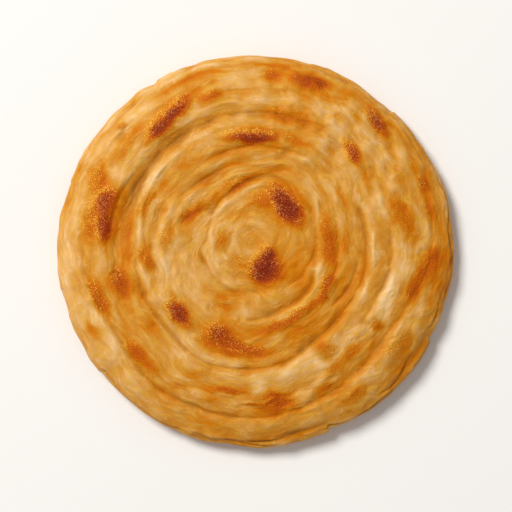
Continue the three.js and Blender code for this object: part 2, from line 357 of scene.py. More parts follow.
# ==== Pleats, lumps and blisters ====
# Inside a turn the pleats of the strip still show as fine lines along it. Steam lifts the skin in
# soft lumps and blisters, most of all where the turns have fused, and leaves small pits.

FUSED_MIDDLE = (57.0, 62.0)  # angle and radius of the stretch where the turns have fused
FUSED_REACH = (38.0, 24.0)  # degrees and millimetres that it reaches
FUSED_EDGE = (0.6, 1.15)  # shares of that reach between which it dies out
PLEATS = [(4.0, 0.38, 3.2), (2.1, 0.24, 2.8), (1.15, 0.16, 2.8)]  # width, height, length / width
PLEAT_SWAY = (2.4, 10.0)  # how far the pleats sway from side to side, and over what length
PLEAT_PINCH = 0.6  # how much of a pleat's shape is round with a pinched line on both sides
PINCH_SOFTNESS = 0.01  # how blunt the pinched line is
PINCH_SPREAD, PINCH_MEAN = 1.8, 0.35  # bring the pinched shape to the plain one's height and mean
PLEAT_LEAN = (0.38, 40.0)  # how far a pleat tips over, and how far from the middle it is full
PLEAT_STRENGTH = (0.2, 1.4)  # of faint pleats, and what is added where they are strong
PLEAT_FADE = (14.0, 0.55)  # size of those stretches, and how far the noise is from 0 there
FUSED_PLEATS = 0.3  # share of the pleats that is lost where the turns have fused
HEART_CALM = (6.0, 16.0)  # the distances from the heart between which the pleats rise
LUMPS = [(13.0, 0.65), (6.0, 0.30), (2.9, 0.10), (1.6, 0.02)]  # size and height
LUMP_STRENGTH = (0.7, 0.6)  # on most of the bread, and what is added where it has fused
BLISTER_COUNT, BLISTER_SIZES = 190, (1.4, 3.6)
PIT_COUNT, PIT_SIZES = 150, (0.6, 1.3)
BLISTER_RISE = 0.13  # height of a blister as a share of its size
PIT_DEPTH = 2.2  # how many times deeper than that a pit is
STRAY_SHARE = 0.12  # how thickly they lie elsewhere, against where the turns have fused
STREWN_MARGIN = 7.0  # that they keep off the rim


def fused(x, y):
    """How far the turns have fused, from 0 to 1."""
    away = (np.degrees(np.arctan2(y, x)) - FUSED_MIDDLE[0]) / FUSED_REACH[0]
    out = (np.hypot(x, y) - FUSED_MIDDLE[1]) / FUSED_REACH[1]
    return 1 - smooth(np.hypot(away, out), *FUSED_EDGE)


def scattered(count, seed, sizes):
    """Middles and sizes of things strewn over the round, most thickly where it has fused. Four
    times as many are drawn as can be kept, because those elsewhere are mostly left out."""
    draw = np.random.default_rng(seed)
    spread = np.sqrt(draw.uniform(0, 1, 4 * count)) * (RIM_RADIUS - STREWN_MARGIN)
    turn = draw.uniform(0, 2 * np.pi, 4 * count)
    x, y = spread * np.cos(turn), spread * np.sin(turn)
    keep = draw.uniform(0, 1, 4 * count) < STRAY_SHARE + (1 - STRAY_SHARE) * fused(x, y)
    x, y = x[keep][:count], y[keep][:count]
    return x, y, draw.uniform(*sizes, len(x))


def bells(x, y, places):
    """Sum of round bells, each with a reach of its own size and a fixed share of it as height."""
    total = np.zeros(np.shape(x))
    for middle_x, middle_y, size in zip(*places):
        away = np.hypot(x - middle_x, y - middle_y) / size
        total += BLISTER_RISE * size * np.exp(-(away**2))
    return total


BLISTERS = scattered(BLISTER_COUNT, 5, BLISTER_SIZES)
PITS = scattered(PIT_COUNT, 6, PIT_SIZES)


def relief(x, y):
    """Height of all of the skin's shape over the plain round, and the straightened radius. A pleat
    is noise that is long along the turns, partly folded over where it is 0, and tipped over by
    reading it a second time, shifted by its own value."""
    x, y = LAYOUT_SCALE * x, LAYOUT_SCALE * y
    height, straight = turns(x, y)
    melt = fused(x, y)
    sway = PLEAT_SWAY[0] * uneven(x, y, PLEAT_SWAY[1], 2.5, seed=19)
    tip = PLEAT_LEAN[0] * np.clip((x - y) / np.sqrt(2) / PLEAT_LEAN[1], -1, 1)
    calm = smooth(np.hypot(x - HEART[0], y - HEART[1]), *HEART_CALM)
    for width, rise, stretch in PLEATS:
        across = (straight + sway) / width
        line = uneven(x, y, width * stretch, across, seed=7)
        line = uneven(x, y, width * stretch, across + tip * line, seed=7)
        pinched = PINCH_SPREAD * (np.sqrt(line**2 + PINCH_SOFTNESS) - PINCH_MEAN)
        line = calm * (line + PLEAT_PINCH * (pinched - line))
        strong = smooth(uneven(x, y, PLEAT_FADE[0], width, seed=8), -PLEAT_FADE[1], PLEAT_FADE[1])
        strength = PLEAT_STRENGTH[0] + PLEAT_STRENGTH[1] * strong
        height += rise * strength * (1 - FUSED_PLEATS * melt) * line
    for size, rise in LUMPS:
        strength = LUMP_STRENGTH[0] + LUMP_STRENGTH[1] * melt
        height += rise * strength * uneven(x, y, size, size, seed=9)
    height += bells(x, y, BLISTERS) - PIT_DEPTH * bells(x, y, PITS)
    return height, straight + sway


# ==== Browning ====
# Ghee on a hot pan browns what stands proud: golden first, then orange, then a dark red-brown
# with a fine blistered grain. The folds that the pan never pressed stay pale.

# Each patch is (x, y, length, width, direction, tone over that of the bare skin).
SCORCHED = [
    (13.5, 19, 17, 8, -54, 0.74), (4.2, -7.4, 11.5, 10, 0, 0.74), (5.6, -2.6, 7, 5.5, 80, 0.66),
    (-40.4, 51.2, 10, 5.4, 42, 0.62), (-37, 55.4, 22, 5.2, 48, 0.7),
    (-64.1, 11.4, 13, 5.2, 84, 0.7), (-63.6, 20, 12, 7.8, 52, 0.68), (-2, 48, 21, 4.2, 3, 0.7),
    (-32.4, -26.2, 12, 6, -52, 0.73), (-15.4, -34.2, 10, 7, -4, 0.44),
]
BROWNED = [
    (41.4, 41.6, 11, 4.6, -52, 0.57), (51.8, 54.6, 12, 4.6, -60, 0.5), (31, -14, 7, 5.4, 60, 0.38),
    (7.4, -63.6, 17, 9.4, -4, 0.4), (75.2, -2, 7, 4.8, 80, 0.32), (23.6, 71.8, 16, 6, -12, 0.42),
    (-20.4, 65.2, 12, 5, 15, 0.22), (-17.4, 66.4, 6, 3.6, 15, 0.3), (-67, 29.6, 14, 8, 78, 0.3),
    (-70, 12, 18, 7.5, 84, 0.27), (-46.2, 20.2, 12, 4.2, 70, 0.28), (-26.6, 16.8, 11, 4.6, 36, 0.3),
    (-18, 21.8, 11, 4.6, 31, 0.2), (-7, 28.6, 14, 4.8, 26, 0.31), (2.4, 21.4, 11, 7, 0, 0.25),
    (-8, -6, 12, 8, 15, 0.23), (-14, 4.9, 9, 6, 90, 0.25), (15.8, 46.4, 10, 4.4, -20, 0.25),
    (31, 5.4, 20, 7, -85, 0.31), (61.4, 15.4, 18, 7.5, -66, 0.29), (65.2, 7, 8, 6, -75, 0.18),
    (71.6, 28.4, 9, 4.6, -65, 0.34), (68, 36, 8, 4.6, -60, 0.18), (74.6, 18, 12, 3.4, -77, 0.24),
    (72.2, -8, 17, 8, 60, 0.31), (66.8, -16.4, 11, 6.5, 60, 0.28), (60.6, -22, 15, 5.4, 76, 0.22),
    (51, -31.4, 5, 4.8, 60, 0.28), (40, -43.2, 11, 5, 45, 0.32), (33, -50, 10, 5.4, 40, 0.25),
    (29, -58, 10, 4.6, 45, 0.19), (43, -60.6, 9, 5.4, 40, 0.3), (38.6, -63.4, 7, 3.6, 36, 0.21),
    (60.2, -41, 18, 7, 55, 0.29), (30, -42, 9, 6.6, 0, 0.34), (18.4, -26.8, 22, 4.2, 33, 0.38),
    (29, -18.6, 7, 3.8, 65, 0.31), (8.6, -32, 9, 4.2, 20, 0.27), (-4, -42.4, 20, 5.6, -3, 0.3),
    (-14, -37.6, 19, 9.5, -6, 0.29), (-22.6, -37.4, 6, 4.4, -40, 0.22),
    (-14.5, -21.4, 10, 4.6, -36, 0.22), (-46.4, -2.8, 11, 5.6, -80, 0.29),
    (-56.6, -13.4, 12, 9, -60, 0.34), (-66, -19.8, 17, 6.2, -65, 0.33),
    (-50.2, -43.6, 11, 6.6, -48, 0.34), (-44.4, -48.8, 9, 6, -40, 0.25),
    (-11.9, -59.1, 14, 3, -8, 0.34), (0, -65, 9, 1.5, 0, 0.46), (-19.8, -62.9, 8, 3.6, 0, 0.2),
    (-32, -57, 7, 3.4, -10, 0.19), (-36.4, -18.8, 7, 5, -40, 0.22), (-28, -31.4, 9, 4, -20, 0.24),
    (-56.9, 53.6, 4.4, 2.8, 35, 0.28), (-54.8, 44.8, 22, 5, 55, 0.23),
    (-28.2, 72.6, 19, 3.8, 25, 0.2), (-18, 76.4, 10, 3.2, 15, 0.13),
    (-37.6, 67.6, 3.4, 2.4, 0, 0.18), (-37.2, 6.4, 12, 5, 80, 0.3),
    (-34.4, 34.4, 20, 4.4, 50, 0.13), (-29.4, 42.2, 10, 4, 35, 0.13), (7.2, 74.1, 8, 5.4, 0, 0.23),
    (29.5, 65.4, 10, 4.2, -20, 0.15), (14, 57, 20, 7.6, -10, 0.2), (47, 33.4, 14, 5.4, -75, 0.16),
    (4, 33.8, 18, 3.8, 5, 0.1), (6, 44.6, 26, 4, -8, 0.1), (52.4, 7.7, 11, 4.4, -80, 0.13),
    (50.9, -12.6, 13, 4, 70, 0.14), (38, 4.6, 12, 2.8, -88, 0.18), (44, 57, 7, 4.6, -60, 0.09),
    (-71.6, -5.6, 12, 3.6, -80, 0.15), (-69, -33.6, 9, 4.4, -52, 0.14),
    (-45, -30, 13, 7, -45, 0.12), (-55, -34, 9, 5.6, -80, 0.12), (-24, -52.1, 9, 4.6, 0, 0.15),
    (-24, -4, 11, 4.4, -80, 0.09), (-19.2, -15.5, 7, 5.6, -60, 0.1), (21.4, -31.4, 14, 8, 40, 0.15),
    (22.4, -13, 10, 4.4, 65, 0.08), (3, -33.4, 12, 4.4, 5, 0.17), (36.4, 23, 9, 2.2, -58, 0.13),
    (37, 64, 9, 4, -35, 0.12), (8, 79.2, 26, 1.8, -4, 0.16), (31.6, 42.6, 6, 3.4, -40, 0.13),
    (-77.4, 6.6, 4, 2.4, 85, 0.14), (-61, -28, 10, 4, -60, 0.13),
]
# Smears that are paler than the bare skin, with how much paler as the last number.
PALE = [
    (-27.5, -37.5, 9, 8, -35, 0.13), (24.8, -51, 10, 7, 25, 0.1), (46, 21.5, 9, 4.5, -65, 0.1),
    (-16, 0, 30, 15, 96, 0.1), (-38, 0, 30, 13, 90, 0.07), (38, 47, 16, 6, -60, 0.06),
    (47, -33, 8, 4, 55, 0.12), (58.5, -21.5, 10, 5, 70, 0.08), (69.5, -25.3, 8, 3, 70, 0.1),
    (-28, -12, 22, 12, 120, 0.05), (-27.3, 47.2, 14, 3.2, 30, 0.1), (-41.4, 34.7, 14, 3.2, 50, 0.1),
    (-48, 22.4, 13, 3.2, 65, 0.1), (-50.5, 7.1, 13, 3.2, 82, 0.11),
    (-49.2, -8.7, 13, 3.2, -80, 0.11), (12, 64.4, 14, 4, 15, 0.12), (29.4, 58.6, 14, 6, -55, 0.12),
    (35.5, 49.3, 9, 4, -70, 0.12), (-26.4, 59.4, 12, 5, 80, 0.12), (-49, 58.6, 16, 6, 42, 0.13),
    (-63.6, 44, 14, 6, 56, 0.08), (-60, 34, 9, 6, 60, 0.12), (-45.8, 28.4, 10, 4, 60, 0.12),
    (-76, 12, 16, 5, 82, 0.11), (-5, 72.6, 18, 6, 2, 0.13), (-8, 57.6, 14, 4, 5, 0.08),
    (-17, 16, 8, 6, 30, 0.1), (43, 31, 8, 4, -60, 0.1), (52.4, 20.6, 14, 5, -76, 0.1),
    (53.8, 42, 14, 5, -68, 0.13), (61.8, 39.7, 8, 5, -50, 0.06), (32.5, 28.5, 12, 3, -65, 0.08),
    (24.5, 27.3, 9, 3, -55, 0.08), (75.6, 34.9, 10, 3, -60, 0.06), (41.2, 15.2, 8, 2.5, -80, 0.08),
    (48, 6, 14, 3, -88, 0.07), (70.5, 11.5, 16, 3.5, -75, 0.07), (-6, -1.5, 12, 5, 20, 0.08),
    (-37, -4.6, 12, 4, 88, 0.13), (-38.6, -17, 10, 3, -70, 0.09), (-68, -28, 8, 5, -60, 0.12),
    (-57, -44, 18, 6, -55, 0.12), (-27, -44.6, 16, 4, -20, 0.1), (-5, -26.4, 10, 4, 0, 0.1),
    (1, -57, 14, 6, 100, 0.22), (19.8, -47, 20, 7, 27, 0.17), (8, -50.6, 12, 4, 15, 0.1),
    (39.4, -35.6, 12, 5, 50, 0.11), (56, -15, 20, 5, 75, 0.15), (46.6, -13.6, 10, 1.8, 80, 0.13),
    (26, -8, 9, 2.4, 80, 0.1), (35.8, -42.8, 8, 4.5, 50, 0.16), (56, -46, 12, 3, 55, 0.08),
    (-80, -4, 20, 4, 92, 0.07), (-74, -28, 16, 4, -70, 0.06), (-28, -66, 14, 5, -25, 0.06),
]
# Broad stretches that are paler, or below 0 browner, than the rest. Most are the dough's own tone,
# but the browner stretches out at the rim are painted shade with a warm painted reflection in it.
BROAD_TONES_AND_RIM_SHADE = [
    (27, -8, 36, 17, -16, -0.08), (26, -27, 18, 18, 45, -0.03), (-9, -37, 22, 18, 0, -0.05),
    (17.8, -35, 28, 9, 27, -0.03), (-30, -20, 28, 16, 120, 0.05), (27, 27, 20, 14, -45, 0.04),
    (60, -15, 28, 9, 76, 0.09), (19, 68.5, 36, 13, -15, -0.05), (-18, 68.5, 32, 12, 15, -0.04),
    (50.5, -50.5, 38, 8, 45, 0.07), (19, -70.5, 34, 8, 15, -0.05), (-69.5, -18.6, 34, 8, 105, 0.05),
    (35, 49, 26, 22, -55, 0.04), (-54.5, 3, 24, 5, 86, -0.06), (-67.8, 5, 14, 5, 84, -0.07),
    (20, -53.5, 22, 7, 30, 0.08), (-46, 34, 30, 12, 53, 0.03), (-21, -77, 40, 10, -15, -0.05),
    (80, 2, 44, 9, 90, -0.06), (58, 58, 44, 7, -45, 0.02), (-73, 21, 36, 9, 74, 0.09),
    (67, -45, 32, 7, 56, -0.07), (24, 79, 40, 7, -17, 0.03), (-24, 79, 36, 9, 17, 0.07),
    (60.5, 10.6, 16, 9, 80, 0.05), (20.5, 29, 12, 8, -35, -0.05), (30.4, 42.4, 14, 12, -35, 0.06),
    (-45, 42.5, 13, 8, 60, 0.09), (-35.5, 51, 18, 7, 35, 0.07), (-57.5, 43.5, 15, 5, 55, 0.09),
    (-64, 22, 8, 7, 0, 0.06), (-48.5, 27, 11, 5, 62, 0.05), (-40, 5, 26, 7, 96, 0.08),
    (-42, -9, 16, 7, 110, 0.06), (-36, -30, 22, 8, 108, 0.1), (-26.5, -35, 9, 6, -40, 0.05),
    (-9, -5, 14, 10, 45, 0.07), (-11, -12.5, 13, 8, -50, 0.06), (-60, -33.5, 13, 7, 125, 0.1),
    (-17, 50, 10, 8, 90, 0.08), (4, 57.5, 17, 6, 5, 0.06), (-14.5, 69, 7, 6, 0, 0.05),
    (-4, 80, 24, 7, 3, 0.07), (24, 14, 10, 7, 90, 0.08), (45, 15, 10, 5, -70, 0.08),
    (54, 34, 11, 6, -60, 0.11), (35.5, 46.5, 11, 8, 90, 0.06), (70.5, -2, 9, 7, 90, 0.06),
    (34, -43.5, 18, 8, 35, 0.09), (21.5, -62, 18, 6, 38, 0.08), (1.5, -61, 13, 6, 42, 0.1),
    (57, -28.5, 19, 5, 57, 0.09), (64, -34, 15, 5, 62, 0.1), (-72.5, 1, 16, 6, 90, 0.09),
    (33, 68, 11, 6, -35, 0.06), (-25, 2, 8, 6, 90, 0.07), (-20.5, -4.5, 9, 6, -30, 0.06),
    (-24.5, 11.5, 9, 6, 60, -0.06), (32, 19.5, 10, 6, -60, 0.04), (25, 48.5, 11, 9, 90, -0.13),
    (-24.5, 36.5, 13, 8, 30, -0.11), (7.5, 24.5, 9, 8, 0, -0.13), (20, 42.5, 12, 5, -20, -0.04),
    (59.5, 35.5, 13, 6, -65, -0.09), (44.5, 58, 6, 6, 0, -0.06), (-52, 10, 14, 6, 86, -0.1),
    (-59, 28, 11, 6, 70, -0.07), (-65, -15, 8, 6, 0, -0.1), (-52, -20.5, 9, 7, -60, -0.06),
    (-47, -24, 10, 5, -70, -0.04), (-43.5, -63, 18, 5, -40, -0.04), (6.5, -17.5, 9, 6, 10, -0.08),
    (-2, -7, 7, 7, 0, -0.06), (15.5, -48.5, 11, 7, 25, -0.12), (-0.5, -52, 10, 6, 90, -0.08),
    (46.5, -50.5, 17, 5, 45, -0.1), (0, -71, 16, 6, 0, -0.05), (-25, -75, 24, 5, -15, -0.05),
    (32, -36, 8, 5, 20, -0.06), (-35, 21, 11, 6, 60, -0.05), (-13, 57, 7, 5, 0, -0.05),
    (13, 76, 12, 6, -8, -0.06), (47.5, 1, 9, 5, 88, -0.06), (-10.5, 34, 11, 5, 25, -0.05),
    (78.5, -8, 22, 7, 86, -0.09), (-53.5, 31, 12, 5, 60, -0.06), (76, 24, 18, 5, -73, -0.04),
    (15.5, 65.5, 9, 8, 0, -0.07), (5.5, -25.5, 17, 5, 25, 0.07), (-11.5, -20, 17, 5, -25, -0.06),
    (-19, -43.5, 8, 7, 0, 0.06), (22.5, -40.5, 7, 5, 20, 0.06), (4, 50.7, 26, 3.5, -3, -0.05),
    (0, 27, 22, 5, 12, 0.05), (48.5, 47, 12, 5, -80, 0.06), (60, 23, 10, 5, -70, 0.05),
    (-58, 58, 64, 10, 45, 0.09), (-80.5, -12, 50, 9, 98, 0.1), (-60, -52.5, 36, 8, 131, 0.06),
]
# Browned places with fewer painted glints, light specks, than the others, or below 0 with more.
FEWER_GLINT_SPOTS = [
    (-38.5, 53.5, 22, 9, 46, -0.08), (-64.5, 14, 22, 9, 80, -0.08), (71, -10, 24, 12, 58, 0.14),
    (-15, -34.5, 14, 9, -5, 0.05), (8, -64, 24, 15, -4, 0.5), (29, -42, 14, 11, 0, 0.5),
    (62.5, 12, 24, 10, -66, 0.22), (26, 70.5, 18, 9, -12, 0.35), (-11, -60, 20, 7, -8, 0.3),
    (38.5, -45.5, 16, 9, 45, 0.25), (41, -61.5, 16, 9, 40, 0.3), (-53.5, -15.5, 8, 8, 0, 0.3),
    (-48.5, -45.5, 9, 6, -48, 0.25), (32, 4, 16, 8, -85, 0.12),
]
HALO_TONE = 0.22  # of the orange halo round a scorched patch
HALO_WIDTH = 4.4  # how much longer and wider than the patch it is
FADE_RATE = 0.6  # how fast a patch fades outwards: at its edge it has half its tone
FADE_POWER = 3  # how flat it stays in its middle
EDGE_WANDER = [(6.0, 0.9), (1.8, 0.5)]  # size and reach of the unevenness of a patch's edge
JOIN_POWER = 4  # of the mean that joins the patches: high, so that the browner one holds
SHEEN_TONE = 0.08  # of the golden bloom along the turns between the patches
SHEEN_SIZES = (16.0, 3.6, 6.0)  # length and width of its streaks, and size of its blotches
SHEEN_RANGE = (-0.35, 0.85)  # values of the noise from bare skin to full bloom
# Painted glints: light specks set off each patch toward the lamp at the upper left, for the gleam of
# fat on its blistered grain.
GLINT_SHIFT = 1.5  # millimetres to the left and up that the specks lie off a patch
FULLY_GLINTING = 0.53  # browner skin than this has no more specks
PAN_BLOOM = 0.10  # how brown all of the underside is
PAN_TONE = 0.45  # and how much more where the pan was hottest


def patch(x, y, place):
    """A patch's tone in its middle, fading outwards over an ellipse like a flat bell."""
    middle_x, middle_y, length, width, direction, tone = place
    turn = np.radians(direction)
    along = (x - middle_x) * np.cos(turn) + (y - middle_y) * np.sin(turn)
    across = (y - middle_y) * np.cos(turn) - (x - middle_x) * np.sin(turn)
    away = np.hypot(along / (length / 2), across / (width / 2))
    return tone * np.exp(-FADE_RATE * away**FADE_POWER)


def ragged(x, y):
    """The place shifted a little by two sizes of noise, which makes a patch's edge uneven."""
    x, y = LAYOUT_SCALE * x, LAYOUT_SCALE * y
    for size, reach in EDGE_WANDER:
        shift_x = reach * uneven(x, y, size, 1.5, seed=12)
        shift_y = reach * uneven(x, y, size, 7.5, seed=13)
        x, y = x + shift_x, y + shift_y
    return x, y


def browning(x, y, straight):
    """How brown the skin is, from 0, pale, to 1, scorched: the patches joined by a high power
    mean, and between them a golden bloom along the turns."""
    streak_length, streak_width, blotch = SHEEN_SIZES
    bloom = uneven(x, y, streak_length, straight / streak_width, seed=20)
    bloom += uneven(x, y, blotch, 3.5, seed=21) / 2
    brown = (SHEEN_TONE * smooth(bloom, *SHEEN_RANGE)) ** JOIN_POWER
    place = ragged(x, y)
    for *ellipse, tone in SCORCHED:
        length, width = np.array(ellipse[2:4]) + HALO_WIDTH
        halo = (*ellipse[:2], length, width, ellipse[4], HALO_TONE)
        brown += patch(*place, (*ellipse, tone)) ** JOIN_POWER
        brown += patch(*place, halo) ** JOIN_POWER
    for spot in BROWNED:
        brown += patch(*place, spot) ** JOIN_POWER
    return brown ** (1 / JOIN_POWER)


def paleness(x, y):
    """How much paler than bare skin a smear is that was never pressed on the pan, less the
    broad browner stretches, among them the painted shade along the rim.
    """
    place = ragged(x, y)
    broad = sum(patch(*place, spot) for spot in BROAD_TONES_AND_RIM_SHADE)
    return broad + sum(patch(*place, spot) ** 2 for spot in PALE) ** 0.5


# ==== The skin ====
# The whole skin is one closed surface: rings of vertices along the section, from the crown to
# the middle of the base, each ring twice as fine as the last wherever its vertices spread out.

RING_STEP = 0.47  # from ring to ring
SPOKE_STEP = 0.84  # from vertex to vertex along a ring, at most
BASE_STEP = 2.2  # both ways, on the flat base
FIRST_RING = 40  # vertices on the ring next to a pole
MOST_DOUBLINGS = 4  # of that number, on the way out to the rim
COARSE_BELOW = 0.3  # share of the widest line's height, below which every other ring is left out
GRID_MARGIN = 8  # millimetres round the bread where the heights' means are taken too
SIDE_LAYERS = [2.4, 4.2, 6.0, 7.9, 9.8, 11.6, 13.2]  # heights of the layers' edges round the side
LAYER_RISE = (1.6, 21.0)  # how far an edge rises and falls, and over what length
LAYER_STRENGTH = (0.5, 0.8, 1.2)  # of an edge: mean, how much it changes, and most
LAYER_FADE = 12.0  # length over which it changes
LAYER_LEVELS = (2.7, 3.1)  # from layer to layer in the noise, for its rise and its strength
LEDGE_OUT = 0.8  # how far a layer's edge stands out
LEDGE_BANKS = (1.1, 0.25)  # how far its bulge reaches up and down
PINCH_DEPTH = 0.65  # of the pinched line under an edge
PINCH_PLACE = (0.35, 0.4)  # how far under the edge the line is, and its half width
SIDE_LUMPS = (8.0, 0.5)  # size and height
SIDE_START = (0.93, 0.985)  # shares of the outline between which the side's layers appear
SIDE_UNDER = 0.03  # share by which they reach further in under the rim than over it
SIDE_FOOT = 1.5  # height up from the base over which they appear
SIDE_MEAN = 0.12  # mean height of the side's relief, taken off its crests
TOP_EDGE = 2.5  # how far above the widest line the folds are full
BASE_HOLLOWS = (0.35, 9.0, 0.8)  # depth, size, and value of the noise where they are full
PAN_MARKS = (14.0, 5.0)  # sizes of the large and the small marks of the pan
PAN_MARK_RANGE = (-0.1, 0.9)  # values of the noise from plain to full
PAN_REACH = 0.7  # share of the widest line's height up to which the pan browned the side
PAN_GLINTING = 0.6  # share of the pan's browning that counts for the specks
TOP_BROWNED = 3.0  # how far above the widest line the browning of the top is full
CROWN_TONE, BASE_TONE = 0.05, 0.3  # of the two points in the middle, above and below
CREST_REACH = 3  # millimetres over which the mean height is taken that a crest stands above
SWELL_REACH = 9  # and the same for a broad swell
COIL_STRETCH = 4.0  # how many times longer than wide the streaks along the turns are
HEART_STRETCH = 1.4  # and the same in the middle of the heart
HEART_BLEND = (2.0, 20.0)  # the distances from the heart between which the one becomes the other


def ring_layout():
    """Stations of the rings along the section, their radius, and how many vertices each has."""
    _, reach = section([0])
    stations = np.arange(RING_STEP, reach, RING_STEP)
    (share, height, *_), _ = section(stations)
    radii = share * RIM_RADIUS
    coarse = (height < COARSE_BELOW * RIM_HEIGHT) & (np.arange(len(stations)) % 2 == 1)
    stations, radii = stations[~coarse], radii[~coarse]
    flat = np.arange(BASE_RADIUS - BASE_STEP, BASE_STEP / 2, -BASE_STEP)
    steps = np.append(np.full(len(stations), SPOKE_STEP), np.full(len(flat), BASE_STEP))
    wanted = 2 * np.pi * np.append(radii, flat) / steps
    doublings = np.clip(np.ceil(np.log2(wanted / FIRST_RING)), 0, MOST_DOUBLINGS)
    counts = FIRST_RING * 2 ** doublings.astype(int)
    # a ring has at most twice and at least half as many vertices as the one before it
    for i in range(1, len(counts)):
        counts[i] = np.clip(counts[i], counts[i - 1] // 2, counts[i - 1] * 2)
    return stations, flat, counts


def strip_of_faces(first, n, second, m):
    """Triangles between a ring of n vertices from index first and one of m from index second."""
    j = np.arange(min(n, m))
    k = (j + 1) % min(n, m)
    if n == m:
        return [(first + j, second + j, second + k), (first + j, second + k, first + k)]
    if n < m:
        a, b, mid, c = first + j, second + 2 * j, second + 2 * j + 1, second + 2 * k
        return [(a, b, mid), (a, mid, first + k), (first + k, mid, c)]
    a, mid, c, b = first + 2 * j, first + 2 * j + 1, first + 2 * k, second + j
    return [(a, b, mid), (mid, b, second + k), (mid, second + k, c)]


def mean_heights(x, y, reaches):
    """Mean height of the relief within each reach: a grid of 1 mm, averaged along both its sides
    with a raised cosine, and read between its points."""
    half = int(RIM_RADIUS) + GRID_MARGIN
    line = np.arange(-half, half + 1.0)
    height, _ = relief(*np.meshgrid(line, line, indexing="ij"))
    column, row = x + half, y + half
    i, j = column.astype(int), row.astype(int)
    u, v = column - i, row - j
    for reach in reaches:
        weights = np.hanning(2 * reach + 3)
        weights /= weights.sum()
        grid = height
        for _ in range(2):
            grid = np.apply_along_axis(np.convolve, 0, grid, weights, "same").T
        lower = grid[i, j] * (1 - u) + grid[i + 1, j] * u
        upper = grid[i, j + 1] * (1 - u) + grid[i + 1, j + 1] * u
        yield lower * (1 - v) + upper * v


def side_layers(height, around):
    """Relief round the side: each layer's lower edge stands out over a thin pinched line and the
    bulge dies away upwards. The edges rise and fall, and fade in and out, along the side, each by
    a level of the noise of its own."""
    lump, lump_rise = SIDE_LUMPS
    mean, change, most = LAYER_STRENGTH
    pinch_drop, pinch_width = PINCH_PLACE
    total = lump_rise * uneven(*around, lump, height / lump, seed=23)
    for number, level in enumerate(SIDE_LAYERS):
        rise = LAYER_RISE[0] * uneven(*around, LAYER_RISE[1], number * LAYER_LEVELS[0], seed=14)
        up = height - level - rise
        strength = uneven(*around, LAYER_FADE, number * LAYER_LEVELS[1], seed=15)
        strength = np.clip(mean + change * strength, 0, most)
        ledge = np.where(up > 0, np.exp(-up / LEDGE_BANKS[0]), np.exp(up / LEDGE_BANKS[1]))
        pinch = np.exp(-(((up + pinch_drop) / pinch_width) ** 2))
        total += strength * (LEDGE_OUT * ledge - PINCH_DEPTH * pinch)
    return total


stations, flat_radii, counts = ring_layout()
(share, height, normal_out, normal_up), _ = section(stations)
share = np.append(share, flat_radii / RIM_RADIUS)
height = np.append(height, np.zeros(len(flat_radii)))
normal_out = np.append(normal_out, np.zeros(len(flat_radii)))
normal_up = np.append(normal_up, -np.ones(len(flat_radii)))
share, height, normal_out, normal_up = (
    np.repeat(values, counts) for values in (share, height, normal_out, normal_up)
)
starts = np.cumsum(counts) - counts
spoke = np.arange(counts.sum()) - np.repeat(starts, counts)
angle = 360 * spoke / np.repeat(counts, counts)

radius = share * outline(angle)
direction = np.stack([np.cos(np.radians(angle)), np.sin(np.radians(angle))])
drift = np.clip(1 - radius / HEART_REACH, 0, 1) * (normal_up > 0)
x, y = HEART[:, None] * drift + radius * direction

fold_height, straight = relief(x, y)
near_mean, far_mean = mean_heights(x, y, (CREST_REACH, SWELL_REACH))
on_top = smooth(height, RIM_HEIGHT, RIM_HEIGHT + TOP_EDGE)
on_side = smooth(share + SIDE_UNDER * (height < RIM_HEIGHT), *SIDE_START)
on_side = on_side * smooth(height, 0, SIDE_FOOT)
side_height = on_side * side_layers(height, radius * direction)
out = on_top * fold_height + side_height
# The material paints the skin paler, as lit, where it stands over its surroundings, and browner, as
# shaded, where it sinks below them.
crest = on_top * (fold_height - near_mean) + side_height - SIDE_MEAN * on_side
swell = on_top * (near_mean - far_mean)
way_out = np.append(stations, stations[-1] + BASE_RADIUS - flat_radii)  # along the section
straight += np.repeat(way_out, counts) - radius
hollow_depth, hollow_size, hollow_full = BASE_HOLLOWS
hollows = -hollow_depth * smooth(uneven(x, y, hollow_size, 0.5, seed=16), 0, hollow_full)
out = np.where(normal_up < -0.99, hollows, out)  # on the flat base

x = x + direction[0] * normal_out * out
y = y + direction[1] * normal_out * out
z = np.maximum(height + normal_up * out, 0)

upper = smooth(height, RIM_HEIGHT, RIM_HEIGHT + TOP_BROWNED)
lower = smooth(height, PAN_REACH * RIM_HEIGHT, 0)
large_mark, small_mark = PAN_MARKS
pan_marks = uneven(x, y, large_mark, 3.5, seed=17) + uneven(x, y, small_mark, 1.5, seed=18) / 2
pan_marks = lower * (PAN_BLOOM + PAN_TONE * smooth(pan_marks, *PAN_MARK_RANGE))
brown = upper * browning(x, y, straight) + pan_marks
# The painted glints: the browning read a little toward the lamp, and the pan's marks underneath,
# capped, then thinned in some spots.
painted_glints = upper * browning(x + GLINT_SHIFT, y - GLINT_SHIFT, straight)
painted_glints = painted_glints + PAN_GLINTING * pan_marks
painted_glints = np.minimum(painted_glints, FULLY_GLINTING)
painted_glints -= sum(patch(x, y, spot) for spot in FEWER_GLINT_SPOTS)
pale = paleness(x, y) * (1 - lower)

middle_top = [HEART[0], HEART[1], CROWN_HEIGHT - HEART_FLOOR[1]]
points = np.column_stack([x, y, z])
points = np.vstack([middle_top, points, [0, 0, 0]]) * MM
from_heart = np.stack([x, y]) - HEART[:, None]
blend = smooth(np.hypot(*from_heart), *HEART_BLEND)
stretch = HEART_STRETCH + (COIL_STRETCH - HEART_STRETCH) * blend
along = HEART[:, None] / COIL_STRETCH + from_heart / stretch
coil = np.column_stack([*along, straight])
coil = np.vstack([[*HEART / COIL_STRETCH, straight[0]], coil, [0, 0, 0]])

